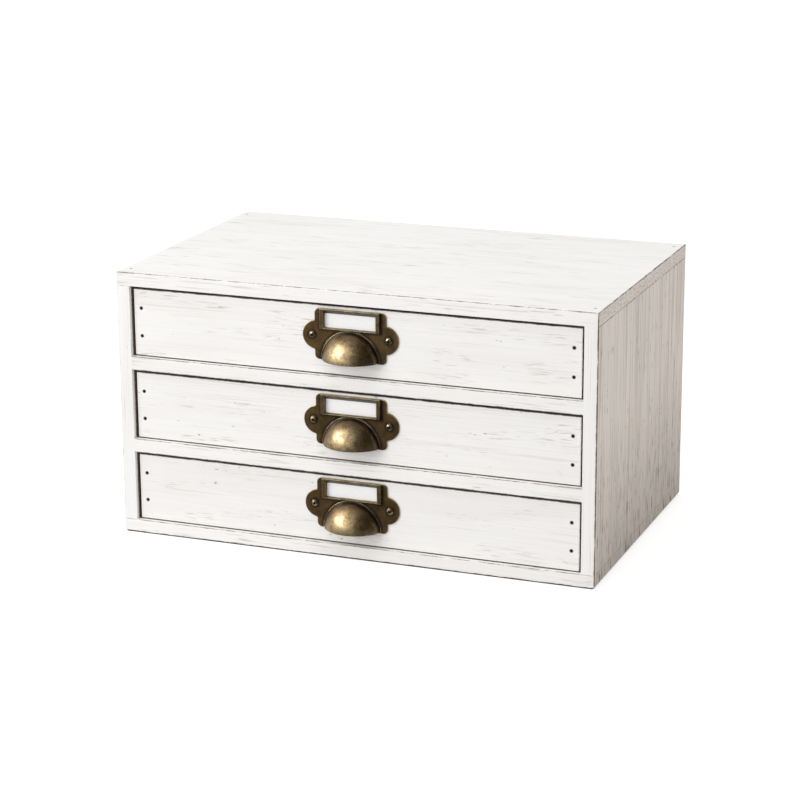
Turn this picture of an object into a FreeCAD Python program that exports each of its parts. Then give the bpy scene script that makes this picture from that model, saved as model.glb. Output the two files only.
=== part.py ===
import FreeCAD, Part
import math
import os

# Desktop cabinet with three drawers and label-holder cup pulls.
# All lengths are millimetres and all angles are degrees.
# The origin is the middle of the carcass's underside.
# +X points to the right, the drawers face -Y and +Z is up.

# Carcass
carcass_width = 360.0
carcass_depth = 225.0
top_thickness = 10.0
bottom_thickness = 10.0
side_thickness = 10.0
divider_thickness = 10.0
bay_height = 52.0
bay_names = ("bottom", "middle", "top")
divider_names = ("lower_divider", "upper_divider")
edge_radius = 0.8
base_corner_radius = 2.5

# Housings in the sides that hold the dividers' ends, stopped short of the front
housing_depth = 3.0
housing_stop = 12.0
housing_clearance = 0.2

# Back panel, let into a rebate round the back of the carcass
back_panel_thickness = 3.0
back_rebate_width = 5.0
back_panel_clearance = 0.2

# Drawer box
front_thickness = 10.0
front_recess = 3.0
front_side_gap = 2.0
front_top_gap = 1.8
front_bottom_gap = 0.7
front_edge_radius = 0.9
drawer_side_thickness = 9.0
drawer_side_height = 45.0
drawer_back_thickness = 9.0
drawer_running_clearance = 0.1
drawer_rear_clearance = 0.3

# Drawer base, held in a groove round the inside of the box
drawer_base_thickness = 3.0
base_groove_depth = 4.0
base_groove_height = 4.0
base_panel_clearance = 0.2

# Brads: cut nails with a square shank, their heads set a little below the wood
brad_length = 22.0
short_brad_length = 12.0
brad_head_radius = 1.1
brad_head_sides = 8
brad_head_thickness = 0.6
brad_shank_width = 1.3
brad_set_depth = 0.3
brad_hole_clearance = 0.05
top_brad_side_inset = 6.0
top_brad_end_inset = 12.0
back_brad_pitch = 115.0
front_brad_pitch = 20.5
front_brad_side_inset = 5.8

# Pull plate: a rectangle with an ear at each side, measured from the screw line
pull_rise = 2.5
plate_thickness = 1.0
plate_width = 53.8
plate_top = 19.4
plate_bottom = 17.5
plate_corner_radius = 3.5
plate_edge_bevel = 0.3
ear_radius = 10.4
ear_joint_radius = 1.0
ear_spacing = 51.3
screw_spacing = 57.4

# Pull label frame: a raised, hollow frame round a window
frame_width = 44.8
frame_height = 14.6
frame_rise = 3.2
frame_wall = 0.9
frame_corner_radius = 0.6
window_width = 39.8
window_height = 10.6
window_drop = 2.2

# Pull cup: half a dome, open below and behind, with a steep shoulder and a flatter crown
cup_radius = 21.0
cup_projection = 16.0
cup_shoulder_radius = 11.0
cup_wall = 1.0
cup_lip_rise = 0.8
rim_width = 1.2
rim_height = 0.5

# Label card, trapped between the frame and the drawer front
card_thickness = 0.4
card_clearance = 0.2

# Round-head pull screws
screw_head_radius = 2.6
screw_head_height = 1.7
screw_shank_radius = 1.3
screw_shank_sides = 8
screw_length = 8.5
screw_plate_clearance = 0.1
screw_wood_clearance = 0.05

# Worked out from the sizes above
bay_count = len(bay_names)
carcass_height = (
    bottom_thickness + bay_count * bay_height + (bay_count - 1) * divider_thickness + top_thickness
)
bay_width = carcass_width - 2 * side_thickness
front_y = -carcass_depth / 2
rear_y = carcass_depth / 2
panel_front_y = rear_y - back_panel_thickness

# A drawer's own frame: the middle of its bay's floor, with the same axes
drawer_front_y = front_y + front_recess
drawer_rear_y = panel_front_y - drawer_rear_clearance
drawer_width = bay_width - 2 * front_side_gap
drawer_half_width = drawer_width / 2
front_top = bay_height - front_top_gap
box_bottom = drawer_running_clearance
box_top = box_bottom + drawer_side_height
box_front_y = drawer_front_y + front_thickness
box_rear_y = drawer_rear_y - drawer_back_thickness
brad_heights = tuple(
    (front_bottom_gap + front_top) / 2 + side * front_brad_pitch / 2 for side in (-1, 1)
)
pull_height = bay_height / 2 + pull_rise

LEFT = FreeCAD.Vector(-1, 0, 0)
RIGHT = FreeCAD.Vector(1, 0, 0)
FORWARD = FreeCAD.Vector(0, -1, 0)
BACKWARD = FreeCAD.Vector(0, 1, 0)
UP = FreeCAD.Vector(0, 0, 1)
DOWN = FreeCAD.Vector(0, 0, -1)
OPEN_END = 1.0


def block(x, y, z):
    """A block between the two limits given along each axis."""
    size = (x[1] - x[0], y[1] - y[0], z[1] - z[0])
    return Part.makeBox(*size, FreeCAD.Vector(x[0], y[0], z[0]))


def edges_where(shape, test):
    """The shape's edges whose bounding box passes the test."""
    return [edge for edge in shape.Edges if test(edge.BoundBox)]


def at_level(low, high, level):
    """True where a bounding box is flat along one axis and lies at the level."""
    return abs(low - level) < 1e-6 and abs(high - level) < 1e-6


def aimed(shape, place, direction):
    """The shape moved to a place, with its own +Z turned to the direction."""
    moved = shape.copy()
    moved.Placement = FreeCAD.Placement(place, FreeCAD.Rotation(UP, direction))
    return moved


def prism(sides, radius, low, high):
    """An upright prism round the Z axis, its corners on a circle."""
    turns = [math.radians(360.0 * side / sides) for side in range(sides + 1)]
    corners = [FreeCAD.Vector(radius * math.cos(turn), radius * math.sin(turn), low) for turn in turns]
    return Part.Face(Part.makePolygon(corners)).extrude(FreeCAD.Vector(0, 0, high - low))


def brad(length, clearance=0.0, above=0.0):
    """A brad driven downwards, its head's top at the origin, or the hole for one."""
    under_head = -brad_head_thickness - clearance
    half = brad_shank_width / 2 + clearance
    head = prism(brad_head_sides, brad_head_radius + clearance, under_head, above)
    shank = block((-half, half), (-half, half), (-length - clearance, under_head))
    return head.fuse(shank)


class BradSet:
    """Brads of one length, driven where a list of surface points and outward directions says."""

    def __init__(self, places, length=brad_length):
        self.places = [(point - outward * brad_set_depth, outward) for point, outward in places]
        self.length = length

    def solids(self):
        """The brads themselves, as one group."""
        return Part.makeCompound(
            [aimed(brad(self.length), point, outward) for point, outward in self.places]
        )

    def holes(self):
        """The holes that the brads fill, open towards their heads."""
        cutter = brad(self.length, brad_hole_clearance, OPEN_END)
        return [aimed(cutter, point, outward) for point, outward in self.places]


def drilled(board, *brad_sets):
    """A board with the holes of the brads that pass through it."""
    holes = [
        hole for brads in brad_sets for hole in brads.holes() if hole.BoundBox.intersect(board.BoundBox)
    ]
    return board.cut(holes) if holes else board


def carcass_envelope():
    """The carcass's outside as one block, with its arrises eased and its lower corners worn round."""
    half = carcass_width / 2
    shape = block((-half, half), (front_y, rear_y), (0, carcass_height))
    corners = edges_where(
        shape, lambda b: at_level(b.ZMin, b.ZMax, 0) and abs(abs(b.XMin + b.XMax) / 2 - half) < 1e-6
    )
    shape = shape.makeFillet(base_corner_radius, corners)
    arrises = edges_where(
        shape,
        lambda b: at_level(b.YMin, b.YMax, front_y)
        or at_level(b.YMin, b.YMax, rear_y)
        or (at_level(b.ZMin, b.ZMax, carcass_height) and at_level(b.XMin, b.XMax, half))
        or (at_level(b.ZMin, b.ZMax, carcass_height) and at_level(b.XMin, b.XMax, -half)),
    )
    return shape.makeFillet(edge_radius, arrises)


def bay_floor(index):
    """Height of the floor of a bay, counted from the bottom."""
    return bottom_thickness + index * (bay_height + divider_thickness)


def divider(index, clearance=0.0):
    """A divider with its housed ends, or with a clearance the housings that its ends fill."""
    inner = bay_width / 2
    reach = inner + housing_depth - housing_clearance + clearance
    stop = front_y + housing_stop + housing_clearance - clearance
    height = (bay_floor(index) - divider_thickness, bay_floor(index))
    shelf = block((-inner, inner), (front_y, panel_front_y), height)
    return shelf.fuse(block((-reach, reach), (stop, panel_front_y), height)).removeSplitter()


def carcass_brads():
    """The carcass's brads, by the name of their group."""
    side_x = carcass_width / 2 - top_brad_side_inset
    end_y = carcass_depth / 2 - top_brad_end_inset
    corners = [(x, y) for x in (-side_x, side_x) for y in (-end_y, end_y)]
    top = [(FreeCAD.Vector(x, y, carcass_height), UP) for x, y in corners]
    bottom = [(FreeCAD.Vector(x, y, 0), DOWN) for x, y in corners]

    back = []
    edge = back_rebate_width / 2
    for x in (-back_brad_pitch, 0.0, back_brad_pitch):
        back.append((FreeCAD.Vector(x, rear_y, carcass_height - top_thickness + edge), BACKWARD))
        back.append((FreeCAD.Vector(x, rear_y, bottom_thickness - edge), BACKWARD))
    for x in (-bay_width / 2 - edge, bay_width / 2 + edge):
        for index in range(bay_count):
            back.append((FreeCAD.Vector(x, rear_y, bay_floor(index) + bay_height / 2), BACKWARD))
    return {
        "top_brads": BradSet(top),
        "bottom_brads": BradSet(bottom),
        "back_panel_brads": BradSet(back, short_brad_length),
    }


def carcass():
    """The carcass's boards, back panel and brads, by name."""
    outer = carcass_width / 2
    inner = bay_width / 2
    under_top = carcass_height - top_thickness
    rebate = back_rebate_width
    envelope = carcass_envelope()
    back_hollow = block(
        (-inner - rebate, inner + rebate),
        (panel_front_y, rear_y + OPEN_END),
        (bottom_thickness - rebate, under_top + rebate),
    )

    boards = {
        "top_board": block((-outer, outer), (front_y, rear_y), (under_top, carcass_height)),
        "bottom_board": block((-outer, outer), (front_y, rear_y), (0, bottom_thickness)),
        "left_side": block((-outer, -inner), (front_y, rear_y), (bottom_thickness, under_top)),
        "right_side": block((inner, outer), (front_y, rear_y), (bottom_thickness, under_top)),
    }
    hollows = [back_hollow] + [divider(index, housing_clearance) for index in range(1, bay_count)]
    pieces = {name: board.common(envelope).cut(hollows) for name, board in boards.items()}
    for index, name in enumerate(divider_names, start=1):
        pieces[name] = divider(index)

    margin = rebate - back_panel_clearance
    pieces["back_panel"] = block(
        (-inner - margin, inner + margin),
        (panel_front_y, rear_y),
        (bottom_thickness - margin, under_top + margin),
    )

    brads = carcass_brads()
    pieces = {name: drilled(piece, *brads.values()) for name, piece in pieces.items()}
    pieces.update({name: group.solids() for name, group in brads.items()})
    return pieces


def drawer_brads():
    """The brads through a drawer's front and back into its sides, by name."""
    front_x = drawer_half_width - front_brad_side_inset
    back_x = drawer_half_width - drawer_side_thickness / 2
    front = [
        (FreeCAD.Vector(x, drawer_front_y, z), FORWARD) for x in (-front_x, front_x) for z in brad_heights
    ]
    back = [
        (FreeCAD.Vector(x, drawer_rear_y, z), BACKWARD) for x in (-back_x, back_x) for z in brad_heights
    ]
    return {"front_brads": BradSet(front), "back_brads": BradSet(back)}


def drawer_front():
    """The inset drawer front, with its face and corners eased."""
    half = drawer_half_width
    shape = block((-half, half), (drawer_front_y, box_front_y), (front_bottom_gap, front_top))
    arrises = edges_where(
        shape, lambda b: at_level(b.YMin, b.YMax, drawer_front_y) or b.YLength > front_thickness / 2
    )
    return shape.makeFillet(front_edge_radius, arrises)


def drawer_base(clearance=0.0):
    """The base panel, or with a clearance the groove that it slides into."""
    reach = base_groove_depth - base_panel_clearance + clearance
    inner = drawer_half_width - drawer_side_thickness
    bottom = box_bottom + base_groove_height
    return block(
        (-inner - reach, inner + reach),
        (box_front_y - reach, box_rear_y + reach),
        (bottom, bottom + drawer_base_thickness + clearance),
    )


def drawer_box():
    """One drawer's boards, base and brads in the drawer's own frame, by name."""
    half = drawer_half_width
    inner = half - drawer_side_thickness
    length = (box_front_y, box_rear_y)
    height = (box_bottom, box_top)
    boards = {
        "front": drawer_front(),
        "left_side": block((-half, -inner), length, height),
        "right_side": block((inner, half), length, height),
        "back": block((-half, half), (box_rear_y, drawer_rear_y), height),
    }
    groove = drawer_base(base_panel_clearance)
    boards = {name: board.cut(groove) for name, board in boards.items()}

    brads = drawer_brads()
    pieces = {name: drilled(board, *brads.values()) for name, board in boards.items()}
    pieces["front"] = pieces["front"].cut(screw_holes())
    pieces["base"] = drawer_base()
    pieces.update({name: group.solids() for name, group in brads.items()})
    return pieces


def plate_outline(depth):
    """The pull plate's outline as a slab of the given depth, standing on the XZ plane."""
    half = plate_width / 2
    slab = block((-half, half), (-depth, 0), (-plate_bottom, plate_top))
    corners = edges_where(slab, lambda b: b.YLength > depth / 2)
    slab = slab.makeFillet(plate_corner_radius, corners)
    ears = [
        Part.makeCylinder(ear_radius, depth, FreeCAD.Vector(x, 0, 0), FORWARD)
        for x in (-ear_spacing / 2, ear_spacing / 2)
    ]
    plate = slab.fuse(ears).removeSplitter()
    upright = edges_where(plate, lambda b: at_level(abs(b.XMin), abs(b.XMax), half))
    joints = [edge for edge in upright if max(abs(edge.BoundBox.ZMin), abs(edge.BoundBox.ZMax)) < ear_radius]
    plate = plate.makeFillet(ear_joint_radius, joints)
    face_edges = edges_where(plate, lambda b: at_level(b.YMin, b.YMax, -depth))
    return plate.makeChamfer(plate_edge_bevel, face_edges)


def arc(centre, radius, first, last):
    """An arc in the XY plane between two angles in radians, measured from +X."""
    angles = (first, (first + last) / 2, last)
    return Part.Arc(
        *[centre + FreeCAD.Vector(radius * math.cos(a), radius * math.sin(a), 0) for a in angles]
    ).toShape()


def dome(wall=0.0):
    """The upper half of the cup's dome, its base on the XZ plane, or with a wall its inside."""
    crown_radius = (cup_radius**2 + cup_projection**2 - 2 * cup_radius * cup_shoulder_radius) / (
        2 * (cup_projection - cup_shoulder_radius)
    )
    crown_centre = FreeCAD.Vector(0, crown_radius - cup_projection, 0)
    shoulder_centre = FreeCAD.Vector(cup_radius - cup_shoulder_radius, 0, 0)
    tangent = shoulder_centre - crown_centre
    turn = math.atan2(tangent.y, tangent.x)
    shoulder = arc(shoulder_centre, cup_shoulder_radius - wall, 0, turn)
    crown = arc(crown_centre, crown_radius - wall, turn, -math.pi / 2)
    crown_end = FreeCAD.Vector(0, wall - cup_projection, 0)
    base = Part.makePolygon([crown_end, FreeCAD.Vector(), FreeCAD.Vector(cup_radius - wall, 0, 0)])
    return Part.Face(Part.Wire([shoulder, crown, base])).revolve(FreeCAD.Vector(), FORWARD, 180.0)


def pull():
    """The label-holder cup pull, its back on the XZ plane and its screw line through the origin."""
    cup_centre = FreeCAD.Vector(0, 0, -plate_bottom)
    lip = cup_lip_rise - plate_bottom
    below_lip = block(
        (-plate_width, plate_width),
        (-2 * cup_projection, OPEN_END),
        (-plate_bottom - 2 * cup_radius, lip),
    )

    outer = dome()
    inner = dome(cup_wall)
    rim = Part.makeCylinder(cup_radius + rim_width, plate_thickness + rim_height, FreeCAD.Vector(), FORWARD)
    for shape in (outer, inner, rim):
        shape.translate(cup_centre)
    cup = outer.fuse(rim).cut(below_lip)

    frame_x = frame_width / 2
    frame_z = (plate_top - frame_height, plate_top)
    frame = block((-frame_x, frame_x), (-frame_rise, 0), frame_z)
    frame = frame.makeFillet(
        frame_corner_radius,
        edges_where(frame, lambda b: at_level(b.YMin, b.YMax, -frame_rise)),
    )
    pocket = block(
        (frame_wall - frame_x, frame_x - frame_wall),
        (frame_wall - frame_rise, OPEN_END),
        (frame_z[0] + frame_wall, frame_z[1] - frame_wall),
    )
    window_top = plate_top - window_drop
    window = block(
        (-window_width / 2, window_width / 2),
        (-2 * frame_rise, OPEN_END),
        (window_top - window_height, window_top),
    )

    body = plate_outline(plate_thickness).fuse([cup, frame]).removeSplitter()
    holes = [
        Part.makeCylinder(
            screw_shank_radius + screw_plate_clearance,
            plate_thickness + 2 * OPEN_END,
            FreeCAD.Vector(x, OPEN_END, 0),
            FORWARD,
        )
        for x in (-screw_spacing / 2, screw_spacing / 2)
    ]
    return body.cut([inner, pocket, window] + holes)


def label_card():
    """The blank card, lying on the drawer front inside the frame's hollow."""
    half = frame_width / 2 - frame_wall - card_clearance
    low = plate_top - frame_height + frame_wall + card_clearance
    high = plate_top - frame_wall - card_clearance
    return block((-half, half), (-card_thickness, 0), (low, high))


def screw_shank(clearance=0.0):
    """A screw's shank below the origin, or the hole for one."""
    radius = screw_shank_radius + clearance
    return prism(screw_shank_sides, radius, -screw_length - clearance, clearance)


def screw():
    """A round-head screw that points down, its head seated at the origin."""
    round_radius = (screw_head_radius**2 + screw_head_height**2) / (2 * screw_head_height)
    ball = Part.makeSphere(round_radius, FreeCAD.Vector(0, 0, screw_head_height - round_radius))
    width = (-screw_head_radius, screw_head_radius)
    head = ball.common(block(width, width, (0, screw_head_height)))
    return head.fuse(screw_shank())


def screw_places():
    """Where the two screw heads seat on a mounted pull, in the drawer's frame."""
    y = drawer_front_y - plate_thickness
    return [FreeCAD.Vector(x, y, pull_height) for x in (-screw_spacing / 2, screw_spacing / 2)]


def screw_holes():
    """The blind holes that the pull's screws fill in the drawer front."""
    shank = screw_shank(screw_wood_clearance)
    return [aimed(shank, place, FORWARD) for place in screw_places()]


def drawer_hardware():
    """A drawer's pull, card and screws in the drawer's own frame, by name."""
    mounting = FreeCAD.Vector(0, drawer_front_y, pull_height)
    pieces = {"pull": pull(), "label_card": label_card()}
    for piece in pieces.values():
        piece.translate(mounting)
    pieces["pull_screws"] = Part.makeCompound([aimed(screw(), place, FORWARD) for place in screw_places()])
    return pieces


def model():
    """Every piece of the cabinet at rest, by node name."""
    nodes = carcass()
    drawer = {**drawer_box(), **drawer_hardware()}
    for index, bay in enumerate(bay_names):
        lift = FreeCAD.Vector(0, 0, bay_floor(index))
        for name, piece in drawer.items():
            placed = piece.copy()
            placed.translate(lift)
            nodes[f"{bay}_drawer_{name}"] = placed
    return nodes


def main():
    """Write each node to its own STEP file."""
    os.makedirs("parts", exist_ok=True)
    for name, shape in model().items():
        shape.exportStep(f"parts/{name}.step")
        box = shape.BoundBox
        print(
            f"{name:28s} solids {len(shape.Solids)} valid {shape.isValid()} "
            f"volume {shape.Volume:10.1f} box {box.XLength:.1f} {box.YLength:.1f} {box.ZLength:.1f}"
        )


main()
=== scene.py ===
"""Whitewashed desktop cabinet: three inset drawers with label-holder cup pulls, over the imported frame."""

import logging
import math
from collections.abc import Sequence
from dataclasses import dataclass, replace
from enum import Enum

import bmesh
import bpy
from mathutils import Matrix, Vector


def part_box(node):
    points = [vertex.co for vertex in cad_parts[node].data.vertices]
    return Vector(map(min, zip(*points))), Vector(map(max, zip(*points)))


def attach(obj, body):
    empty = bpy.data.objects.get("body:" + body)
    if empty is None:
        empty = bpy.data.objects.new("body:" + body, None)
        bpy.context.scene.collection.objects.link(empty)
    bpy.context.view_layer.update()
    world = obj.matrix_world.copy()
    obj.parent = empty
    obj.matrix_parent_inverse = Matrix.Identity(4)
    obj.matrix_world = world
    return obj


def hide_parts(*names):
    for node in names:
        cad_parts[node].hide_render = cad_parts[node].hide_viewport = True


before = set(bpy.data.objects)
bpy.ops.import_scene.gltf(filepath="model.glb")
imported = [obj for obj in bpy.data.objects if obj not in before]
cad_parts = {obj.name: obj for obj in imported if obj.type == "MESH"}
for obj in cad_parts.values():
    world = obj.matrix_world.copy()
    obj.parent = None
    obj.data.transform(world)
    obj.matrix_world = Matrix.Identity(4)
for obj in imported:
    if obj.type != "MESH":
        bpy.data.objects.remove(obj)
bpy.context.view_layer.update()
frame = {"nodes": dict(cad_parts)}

LOG = logging.getLogger("cabinet")
MM = 0.001
# So far off, in millimetres, that a box that reaches there has no arris on the cabinet
FAR = 10000.0
# Where the faces of the drawer fronts lie, in millimetres
FACE_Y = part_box("top_drawer_front")[0].y / MM

Socket = bpy.types.NodeSocket
Loop = list[bmesh.types.BMEdge]
Point = tuple[float, float, float]


class Axis(Enum):
    """An axis of the cabinet's frame, by its place in a vector."""

    X = 0
    Y = 1
    Z = 2


class Side(Enum):
    """Which side of a plane is meant."""

    BELOW = -1.0
    ABOVE = 1.0


def srgb(code: str) -> tuple[float, float, float, float]:
    """Turns an sRGB hex colour into the linear colour that shaders take.

    Args:
        code: The colour as #RRGGBB.

    Returns:
        Its linear red, green and blue, with an alpha of 1.
    """
    channels = [int(code[at : at + 2], 16) / 255 for at in (1, 3, 5)]
    linear = [c / 12.92 if c <= 0.04045 else ((c + 0.055) / 1.055) ** 2.4 for c in channels]
    return (linear[0], linear[1], linear[2], 1.0)


class Nodes:
    """The node tree of a material or of the world, while it is being filled."""

    def __init__(self, owner: bpy.types.Material | bpy.types.World) -> None:
        """Empties the owner's tree.

        Args:
            owner: What the tree belongs to.
        """
        owner.use_nodes = True
        self.owner = owner
        self.tree = owner.node_tree
        self.tree.nodes.clear()

    def add(
        self,
        kind: str,
        links: dict[int | str, object] | None = None,
        out: int | str = 0,
        **settings: object,
    ) -> Socket | None:
        """Adds a node with its settings and links.

        Args:
            kind: The node's type, without the ShaderNode that they all start with.
            links: What each input gets, a socket or a plain value, by its name or number.
            out: The output to hand back, by its name or number.
            settings: The node's own properties.

        Returns:
            The chosen output, or None for a node without one.
        """
        node = self.tree.nodes.new(f"ShaderNode{kind}")
        for name, value in settings.items():
            setattr(node, name, value)
        for key, source in (links or {}).items():
            if isinstance(source, bpy.types.NodeSocket):
                self.tree.links.new(source, node.inputs[key])
            else:
                node.inputs[key].default_value = source
        return node.outputs[out] if len(node.outputs) else None

    def seen_rays(self) -> Socket:
        """Picks the rays of the camera, of reflections and of glass.

        Returns:
            1 for such a ray and 0 for any other.
        """
        ray = self.add("LightPath").node.outputs
        seen = self.add("Math", {0: ray["Is Camera Ray"], 1: ray["Is Glossy Ray"]}, operation="MAXIMUM")
        return self.add("Math", {0: seen, 1: ray["Is Transmission Ray"]}, operation="MAXIMUM")


class Recipe(Nodes):
    """A material while it is being made, with its coordinates in millimetres."""

    def __init__(self, name: str) -> None:
        """Starts an empty material.

        Args:
            name: The material's name.
        """
        super().__init__(bpy.data.materials.new(name))
        coords = self.add("TexCoord", out="Object")
        self.mm = self.add("VectorMath", {0: coords, "Scale": 1 / MM}, operation="SCALE")

    def streaks(self, grain: Axis, size: tuple[float, float], seed: float, detail: float = 2.0) -> Socket:
        """Draws streaks along the grain.

        Args:
            grain: The axis that the grain follows.
            size: A streak's usual length and width, in millimetres.
            seed: A shift that keeps one board's pattern from its neighbour's.
            detail: How many finer layers the streaks have.

        Returns:
            A level that is about 0.5 on average and highest in the middle of a streak.
        """
        scale = [1 / size[1]] * 3
        scale[grain.value] = 1 / size[0]
        shift = (seed, seed * 1.7, seed * 2.3)
        place = self.add("Mapping", {"Vector": self.mm, "Location": shift, "Scale": scale})
        return self.add("TexNoise", {"Vector": place, "Scale": 1.0, "Detail": detail})

    def finish(self, shader: Socket) -> bpy.types.Material:
        """Joins the shader to the material's output.

        Args:
            shader: The finished shader.

        Returns:
            The material.
        """
        self.add("OutputMaterial", {"Surface": shader})
        return self.owner


@dataclass(frozen=True)
class WearAndShadeBox:
    """A box whose arrises are rubbed back to the wood; some boxes also darken them as painted shade.

    Attributes:
        low: Its lowest corner, in millimetres.
        high: Its highest corner, in millimetres.
        least: How far the wear reaches from an arris where it is least, in millimetres.
        most: How far it reaches where it is worst, in millimetres.
        amount: How bare the wood gets, from 0 to 1.
        colour: The colour of the worn wood, which some boxes make darker than wear alone, as painted shade.
    """

    low: Point
    high: Point
    least: float
    most: float
    amount: float
    colour: str = "#6C5C4D"


@dataclass(frozen=True)
class Limit:
    """A plane with the side of it where a board has less wash, or none.

    Attributes:
        axis: The plane's axis.
        value: Its place on that axis, in millimetres.
        side: The side that is meant.
        ragged: How far its edge wanders, in millimetres.
    """

    axis: Axis
    value: float
    side: Side
    ragged: float = 0.0


@dataclass(frozen=True)
class BradMarks:
    """Dark rims in the wash round four brads, which stand mirrored about a centre.

    Attributes:
        centre: The middle of the four, in millimetres.
        spread: How far each stands from it, in millimetres, and 0 along the brads.
        radius: How far the rims reach, in millimetres.
        amount: How dark they are, from 0 to 1.
    """

    centre: Point
    spread: Point
    radius: float
    amount: float


@dataclass(frozen=True)
class Marks:
    """Marks along the grain, of one size and colour.

    Attributes:
        size: A mark's usual length and width, in millimetres.
        levels: The streaks' levels where a mark begins and where it is full.
        colour: The marks' colour.
        amount: How strongly they show in their patches, from 0 to 1.
        on_thin: How strongly they show all over thin wash, from 0 to 1.
        patch: The patches' usual length and width in millimetres, or None for marks all over.
        cover: The streaks' levels where a patch begins and where it is full.
        at_foot: How much more strongly they show at the foot of thin wash, from 0 to 1.
        grain: The axis they follow, or None for the board's own grain.
    """

    size: tuple[float, float]
    levels: tuple[float, float]
    colour: str
    amount: float
    on_thin: float = 0.0
    patch: tuple[float, float] | None = None
    cover: tuple[float, float] = (0.5, 0.6)
    at_foot: float = 0.0
    grain: Axis | None = None


# What a brush leaves on every board, its lines drawn 1.3 mm wide where the bristles' own are finer
BRUSHED = (
    Marks((150.0, 1.3), (0.38, 0.72), "#EAE6E1", 0.32),
    Marks((100.0, 24.0), (0.45, 0.75), "#E6E2DD", 0.32),
)
# Fronts: faint lines, and clusters of lines with a few dark specks in them, drawn 0.9 mm wide
# where real ones are finer
FRONT_MARKS = BRUSHED + (
    Marks((60.0, 0.9), (0.55, 0.66), "#C9BFB6", 0.32, 0.3, (110.0, 11.0), (0.45, 0.62)),
    Marks((15.0, 0.85), (0.56, 0.63), "#A0948A", 0.40, 0.2, (60.0, 14.0), (0.54, 0.65)),
    Marks((2.4, 0.85), (0.56, 0.63), "#5A4E45", 0.7, 0.0, (13.0, 4.5), (0.67, 0.73)),
    Marks((4.5, 0.8), (0.80, 0.86), "#5A4D42", 0.7, 0.2),
)
# Boards along the width: soft grey streaks, short lines, and dots of end grain where they are cut,
# drawn 1.6 mm across where real ones are finer
BOARD_MARKS = BRUSHED + (
    Marks((38.0, 1.4), (0.55, 0.68), "#CBC6C0", 0.55, 0.0, (120.0, 20.0), (0.42, 0.58)),
    Marks((20.0, 0.9), (0.58, 0.64), "#958A7F", 0.5, 0.0, (40.0, 9.0), (0.57, 0.68)),
    Marks((60.0, 1.6), (0.53, 0.62), "#7A6F65", 0.0, 0.6),
    Marks((4.5, 0.8), (0.77, 0.83), "#5A4D42", 0.7),
)
# Thin wash over upright grain: close lines, a few unbroken ones and dashes, drawn up to 2 mm wide
# where real grain is finer, and a foot darkened as painted shade, with more of them
THIN_MARKS = (
    # Darkens the thin wash towards the foot: painted shade
    Marks((400.0, 60.0), (0.0, 0.1), "#9A8F84", 0.0, at_foot=0.5),
    Marks((110.0, 1.6), (0.50, 0.62), "#BDB1A4", 0.0, 0.5),
    Marks((900.0, 2.0), (0.70, 0.725), "#6B5F54", 0.0, 0.8),
    Marks((10.0, 1.6), (0.66, 0.72), "#6B5F54", 0.0, 0.7),
    Marks((16.0, 1.8), (0.57, 0.66), "#665A4F", 0.0, at_foot=1.0),
)
# Uprights: faint lines in front
UPRIGHT_MARKS = (
    *BRUSHED,
    Marks((70.0, 0.9), (0.54, 0.66), "#BCB2A8", 0.4, 0.0, (110.0, 11.0), (0.45, 0.62)),
    *THIN_MARKS,
    Marks((6.0, 0.8), (0.72, 0.80), "#5A4D42", 0.7),
)
# The base board: as the other boards, but the uprights' brush lines and painted shade at the foot run on
# over its ends
BASE_MARKS = (
    *BRUSHED,
    BOARD_MARKS[2],
    *(replace(marks, grain=Axis.Z) for marks in THIN_MARKS),
    BOARD_MARKS[3],
    BOARD_MARKS[5],
)


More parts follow.
